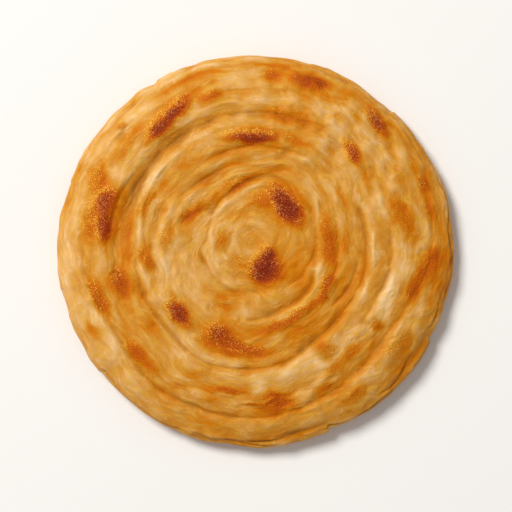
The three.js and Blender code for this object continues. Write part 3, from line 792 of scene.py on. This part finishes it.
faces = []
last = len(points) - 1
ring = np.arange(counts[0])
faces.append((np.zeros_like(ring), 1 + ring, 1 + (ring + 1) % counts[0]))
for i in range(len(counts) - 1):
    faces += strip_of_faces(1 + starts[i], counts[i], 1 + starts[i + 1], counts[i + 1])
ring = np.arange(counts[-1])
faces.append((1 + starts[-1] + ring, np.full_like(ring, last),
              1 + starts[-1] + (ring + 1) % counts[-1]))
triangles = np.concatenate([np.column_stack(corners) for corners in faces])

mesh = bpy.data.meshes.new("bread")
mesh.from_pydata(points.tolist(), [], triangles.tolist())
mesh.polygons.foreach_set("use_smooth", np.ones(len(triangles), bool))
# What the dough's material reads: the values on the rings, and those of the two middles.
marks = {
    "toast": (brown, CROWN_TONE, BASE_TONE),
    "crest": (crest, 0, 0),
    "swell": (swell, 0, 0),
    "pale": (pale, 0, 0),
    "painted_glints": (painted_glints, 0, 0),
}
for name, (values, crown, base) in marks.items():
    values = np.concatenate([[crown], values, [base]])
    mesh.attributes.new(name, "FLOAT", "POINT").data.foreach_set("value", values)
mesh.attributes.new("coil", "FLOAT_VECTOR", "POINT").data.foreach_set("vector", coil.ravel())
mesh.update()
bread = bpy.data.objects.new("bread", mesh)
bpy.context.scene.collection.objects.link(bread)

# ---- Fried dough ----
# Wheat dough cooked through and basted with ghee: translucent and cream where pale, golden to
# dark red-brown where the pan touched it, with a thin gloss of fat over a fine uneven skin.
# Light and shade are painted into its colour as well: paler on crests, browner in hollows and
# creases, and light specks as glints.

# The colour of the dough by its tone: cream where pale, golden, orange, then a dark red-brown.
TONE_COLOURS = [
    (0.00, "#ecc690"),
    (0.14, "#dfab67"),
    (0.28, "#ce8c33"),
    (0.42, "#cc7704"),
    (0.56, "#c66000"),
    (0.70, "#b24800"),
    (0.84, "#9a3308"),
    (1.00, "#84250e"),
]
SKIN_TONE = 0.27  # of bare skin on level ground
# Painted light and shade: the skin is painted paler for each millimetre that it stands proud, and
# browner for each that it sinks, as light falls on crests and shade in hollows.
PAINTED_SHADING_TONE = 0.20  # how much paler it is for each millimetre that it stands out
# Painted shade: the dark brown laid into the deep creases, where shade gathers between the folds.
CREASE_SHADE = "#94540a"
YELLOWED = "#dca22a"
# Painted glints: light specks on orange and on brown skin, for the gleam of the fat.
GLINT_ON_ORANGE = "#f8c048"
GLINT_ON_BROWN = "#d8924c"
HUE_TONE, MOTTLE_TONE = 0.12, 0.05  # how far the tone wavers along the turns, and all over
GRAIN_TONE = (0.02, 0.28)  # how far it wavers from grain to grain, on pale and on browned skin
# Painted light and shade: the heights between which it changes, and the shares of a crest, a ply's
# edge and the streaks that count for it.
PAINTED_SHADING_RISE = (-0.4, 0.8)  # heights between which the tone changes with what stands proud
CREST_SHADING_SHARE = 0.7  # of the height over the skin close by that counts for the tone
PLY_RISE = 0.45  # of a ply's edge
STREAK_RISE = (0.02, 0.13)  # of the streaks, from calm skin to streaky skin
GRAIN_SIZE = 0.55  # of the micro-blisters on browned skin
SKIN_GRAIN_SIZE = 1.1  # of the small unevenness all over
GLINT_SPACING = 0.52  # from speck to speck
GLINT_EDGE = (0.5, 0.25)  # shares of that from a speck's middle, where it ends and is full
GLINT_STRENGTH = 0.95
# How crowded the painted glints are on browned skin, and how scorching thins them out again: the
# brownness from and to, and the crowding there.
GLINT_CROWD = (0.09, 0.66, -0.15, 1.47)
GLINT_LOSS = (0.4, 0.75, 0.0, -0.95)
CROWD_LIMITS = (-0.1, 0.75)
STREAK_SIZE = 1.3  # across the pleats' own fine lines
PLY_SIZE = 2.6  # from one thin ply's edge to the next
PLY_WIDTH = 0.035  # of the edge, as a share of the noise's range
YELLOW_SIZE = 1.4  # across the smears where the ghee has gone deep yellow
YELLOW_SHARE, CREASE_SHADE_SHARE = 0.5, 0.7  # of those colours where they are strongest
MOTTLE_SIZE = 5.0
HUE_SIZE = 3.6
STREAKY_SIZE, PLIED_SIZE = 9.0, 6.0  # of the stretches with streaks, and with plies
GRAIN_BUMP = (0.6, 0.8)  # height in millimetres and strength
SKIN_BUMP = (0.45, 0.3)
STREAK_BUMP = (0.4, 0.52)
ROUGHNESS = (0.46, 0.28)  # of pale skin and of browned skin


def linear(hex_colour):
    """An sRGB hex colour as linear red, green, blue and alpha."""
    values = np.array([int(hex_colour[i:i + 2], 16) / 255 for i in (1, 3, 5)])
    curve = np.where(values <= 0.04045, values / 12.92, ((values + 0.055) / 1.055) ** 2.4)
    return (*curve, 1.0)


def add(tree, kind, inputs=(), **settings):
    """Adds a node. inputs gives each socket, by name or number, a value or another node's output."""
    made = tree.nodes.new(kind)
    for name, value in settings.items():
        setattr(made, name, value)
    for socket, value in dict(inputs).items():
        if isinstance(value, bpy.types.NodeSocket):
            tree.links.new(value, made.inputs[socket])
        else:
            made.inputs[socket].default_value = value
    return made


crust = bpy.data.materials.new("fried_wheat_dough")
crust.use_nodes = True
tree = crust.node_tree
tree.nodes.clear()
place = add(tree, "ShaderNodeTexCoord").outputs["Object"]


def marked(name, socket="Fac"):
    """What the mesh holds under a name at each of its points."""
    return add(tree, "ShaderNodeAttribute", attribute_name=name).outputs[socket]


def patchy(vector, size, detail=2.0):
    """The value of a noise texture with features of a size in millimetres."""
    return add(tree, "ShaderNodeTexNoise", {
        "Vector": vector, "Scale": 1 / size, "Detail": detail, "Roughness": 0.6}).outputs["Fac"]


def ranged(value, low, high, start=0.0, end=1.0):
    """The value taken from the range low to high, to the range start to end."""
    return add(tree, "ShaderNodeMapRange", {
        0: value, 1: low, 2: high, 3: start, 4: end}).outputs[0]


def centred(value):
    """A noise texture's value about 0, from -0.5 to 0.5."""
    return ranged(value, 0.3, 0.7, -0.5, 0.5)


def times(one, other):
    """One value times another."""
    return add(tree, "ShaderNodeMath", {0: one, 1: other}, operation="MULTIPLY").outputs[0]


def plus(one, share, other):
    """One value times a share, plus another."""
    return add(tree, "ShaderNodeMath", {
        0: one, 1: share, 2: other}, operation="MULTIPLY_ADD").outputs[0]


def mixed(share, under, over):
    """A share of the colour over, on the colour under."""
    return add(tree, "ShaderNodeMix", {0: share, 6: under, 7: over}, data_type="RGBA").outputs[2]


def bumped(height, size, below=()):
    """The surface's normal under a texture of heights. size holds its height in millimetres and
    its strength, and below may give the normal that it lies on."""
    distance, strength = size
    return add(tree, "ShaderNodeBump", {
        "Height": height, "Distance": distance * MM, "Strength": strength, **dict(below)
    }).outputs[0]


toast_read = marked("toast")
crest_read = marked("crest")
coil_read = marked("coil", "Vector")
swell_read = marked("swell")
pale_read = marked("pale")
painted_glints_read = marked("painted_glints")

grain = patchy(place, GRAIN_SIZE * MM)
mottle = patchy(place, MOTTLE_SIZE * MM, 3.0)
streak = patchy(coil_read, STREAK_SIZE, 3.0)
hue = patchy(coil_read, HUE_SIZE, 1.0)
streaky = ranged(patchy(place, STREAKY_SIZE * MM, 1.0), 0.4, 0.6, *STREAK_RISE)
# A ply's edge is a thin line where noise along the turns passes through its middle value.
ply = add(tree, "ShaderNodeMath", {0: plus(patchy(coil_read, PLY_SIZE, 1.0), 1.0, -0.5)},
          operation="ABSOLUTE").outputs[0]
ply = times(ranged(ply, 0.0, PLY_WIDTH, 1.0, 0.0),
            ranged(patchy(place, PLIED_SIZE * MM, 1.0), 0.42, 0.6))

# What stands proud of the skin round it, in millimetres, which sets the painted light on crests and
# the painted shade in hollows and creases.
raised = plus(centred(streak), streaky, swell_read)
raised = plus(crest_read, CREST_SHADING_SHARE, raised)
raised = plus(ply, PLY_RISE, raised)

# The tone: browner where the pan touched and in the painted shade along the rim, paler on the pale
# smears, and painted paler on what stands proud and browner in hollows, as light and shade fall.
low, high = PAINTED_SHADING_RISE
tone = plus(ranged(raised, low, high, -low, -high), PAINTED_SHADING_TONE, toast_read)
tone = plus(centred(hue), HUE_TONE, tone)
tone = plus(centred(mottle), MOTTLE_TONE, tone)
tone = plus(pale_read, -1.0, tone)
tone = plus(centred(grain), ranged(toast_read, 0.12, 0.4, *GRAIN_TONE), tone)
tone = plus(tone, 1.0, SKIN_TONE)
ramp = add(tree, "ShaderNodeValToRGB", {0: tone})
stops = ramp.color_ramp.elements
while len(stops) < len(TONE_COLOURS):
    stops.new(0.5)
for stop, (position, colour) in zip(stops, TONE_COLOURS):
    stop.position = position
    stop.color = linear(colour)

# Smears of yellow ghee on the pale skin, and painted shade, a dark brown, in the deep creases.
yellow_share = ranged(patchy(coil_read, YELLOW_SIZE), 0.48, 0.62, 0.0, YELLOW_SHARE)
yellow_share = times(yellow_share, ranged(tone, 0.25, 0.45, 1.0, 0.0))
colour = mixed(yellow_share, ramp.outputs["Color"], linear(YELLOWED))
colour = mixed(ranged(raised, -0.2, -1.0, 0.0, CREASE_SHADE_SHARE), colour, linear(CREASE_SHADE))

# Painted glints: light specks, each in the middle of a cell with its own random number, that stand
# in for the gleam of the fat. The more they crowd on browned skin, the lower the number that shows,
# and where it is scorched most of them go again.
specks = add(tree, "ShaderNodeTexVoronoi", {"Vector": place, "Scale": 1 / (GLINT_SPACING * MM)})
loss = ranged(toast_read, *GLINT_LOSS)
crowd = plus(loss, 1.0, ranged(painted_glints_read, *GLINT_CROWD))
chance = plus(specks.outputs["Color"], 1.0, ranged(crowd, *CROWD_LIMITS, *CROWD_LIMITS))
dot = ranged(specks.outputs["Distance"], *GLINT_EDGE)
glint_share = times(dot, ranged(chance, 0.97, 1.05, 0.0, GLINT_STRENGTH))
speck = mixed(ranged(toast_read, 0.3, 0.5), linear(GLINT_ON_ORANGE), linear(GLINT_ON_BROWN))
colour = mixed(glint_share, colour, speck)

# The fine skin: grain where it is browned, a small unevenness all over, streaks and plies.
grain_height = times(grain, ranged(toast_read, 0.08, 0.3, 0.08, 1.0))
grain_bump = bumped(grain_height, GRAIN_BUMP)
skin_bump = bumped(patchy(place, SKIN_GRAIN_SIZE * MM), SKIN_BUMP, {"Normal": grain_bump})
streak_bump = bumped(plus(ply, 0.3, streak), STREAK_BUMP, {"Normal": skin_bump})
roughness = ranged(toast_read, 0.05, 0.45, *ROUGHNESS)

shader = add(tree, "ShaderNodeBsdfPrincipled", {
    "Base Color": colour,
    "Roughness": roughness,
    "Normal": streak_bump,
    "IOR": 1.46,
    "Specular IOR Level": 0.24,
    "Specular Tint": (1.0, 0.75, 0.4, 1.0),
    "Subsurface Weight": 0.08,
    "Subsurface Radius": (1.0, 0.45, 0.2),
    "Subsurface Scale": 1.6 * MM,
})
add(tree, "ShaderNodeOutputMaterial", {"Surface": shader.outputs[0]})
mesh.materials.append(crust)

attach(bread, "root")
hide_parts("paratha")

# ==== Floor, light and camera ====
# A plain pale sheet under the bread, a large soft light from the upper left with an even fill,
# and a camera straight above.

FLOOR_SIZE = 3.0  # metres
FLOOR_COLOUR = "#f4f2ef"
FLOOR_ROUGHNESS = 0.9
FILL_COLOUR = (1.0, 1.0, 0.99, 1.0)
FILL_STRENGTH = 0.36
KEY_PLACE = np.array([-1.1, 1.1, 2.1])  # metres
KEY_SIZE = 1.0
KEY_POWER = 60.6  # watts
KEY_COLOUR = (1.0, 0.985, 0.96)
VIEW_SPAN = 216.5 * MM  # width of floor that the frame takes in, at the height of the rim
CAMERA_HEIGHT = 0.9  # metres
RIM_LEVEL = 8 * MM
SENSOR_WIDTH = 36.0  # millimetres
AIM = np.array([0.25, -2.1]) * MM  # the frame's middle, off the middle of the bread

floor_mesh = bpy.data.meshes.new("floor")
half = FLOOR_SIZE / 2
floor_mesh.from_pydata(
    [(-half, -half, 0), (half, -half, 0), (half, half, 0), (-half, half, 0)], [], [(0, 1, 2, 3)]
)
floor = bpy.data.objects.new("floor", floor_mesh)
bpy.context.scene.collection.objects.link(floor)
paper = bpy.data.materials.new("matt_pale_card")
paper.use_nodes = True
card = paper.node_tree.nodes["Principled BSDF"]
card.inputs["Base Color"].default_value = linear(FLOOR_COLOUR)
card.inputs["Roughness"].default_value = FLOOR_ROUGHNESS
floor_mesh.materials.append(paper)
floor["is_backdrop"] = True

world = bpy.data.worlds.new("studio")
world.use_nodes = True
fill = world.node_tree.nodes["Background"]
fill.inputs["Color"].default_value = FILL_COLOUR
fill.inputs["Strength"].default_value = FILL_STRENGTH
bpy.context.scene.world = world

key_light = bpy.data.lights.new("key", "AREA")
key_light.shape = "DISK"
key_light.size = KEY_SIZE
key_light.energy = KEY_POWER
key_light.color = KEY_COLOUR
key = bpy.data.objects.new("key", key_light)
bpy.context.scene.collection.objects.link(key)
key.location = KEY_PLACE
key.rotation_mode = "QUATERNION"
key.rotation_quaternion = Vector(KEY_PLACE).to_track_quat("Z", "Y")

lens = bpy.data.cameras.new("camera")
lens.sensor_width = SENSOR_WIDTH
lens.lens = SENSOR_WIDTH * (CAMERA_HEIGHT - RIM_LEVEL) / VIEW_SPAN
lens.clip_start = 0.01
camera = bpy.data.objects.new("camera", lens)
bpy.context.scene.collection.objects.link(camera)
camera.location = (*AIM, CAMERA_HEIGHT)
bpy.context.scene.camera = camera
bpy.context.scene.view_settings.view_transform = "Standard"

boxes = {"cad": cad_box, "visual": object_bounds()}
{name: [list(corner) for corner in box] for name, box in boxes.items()}
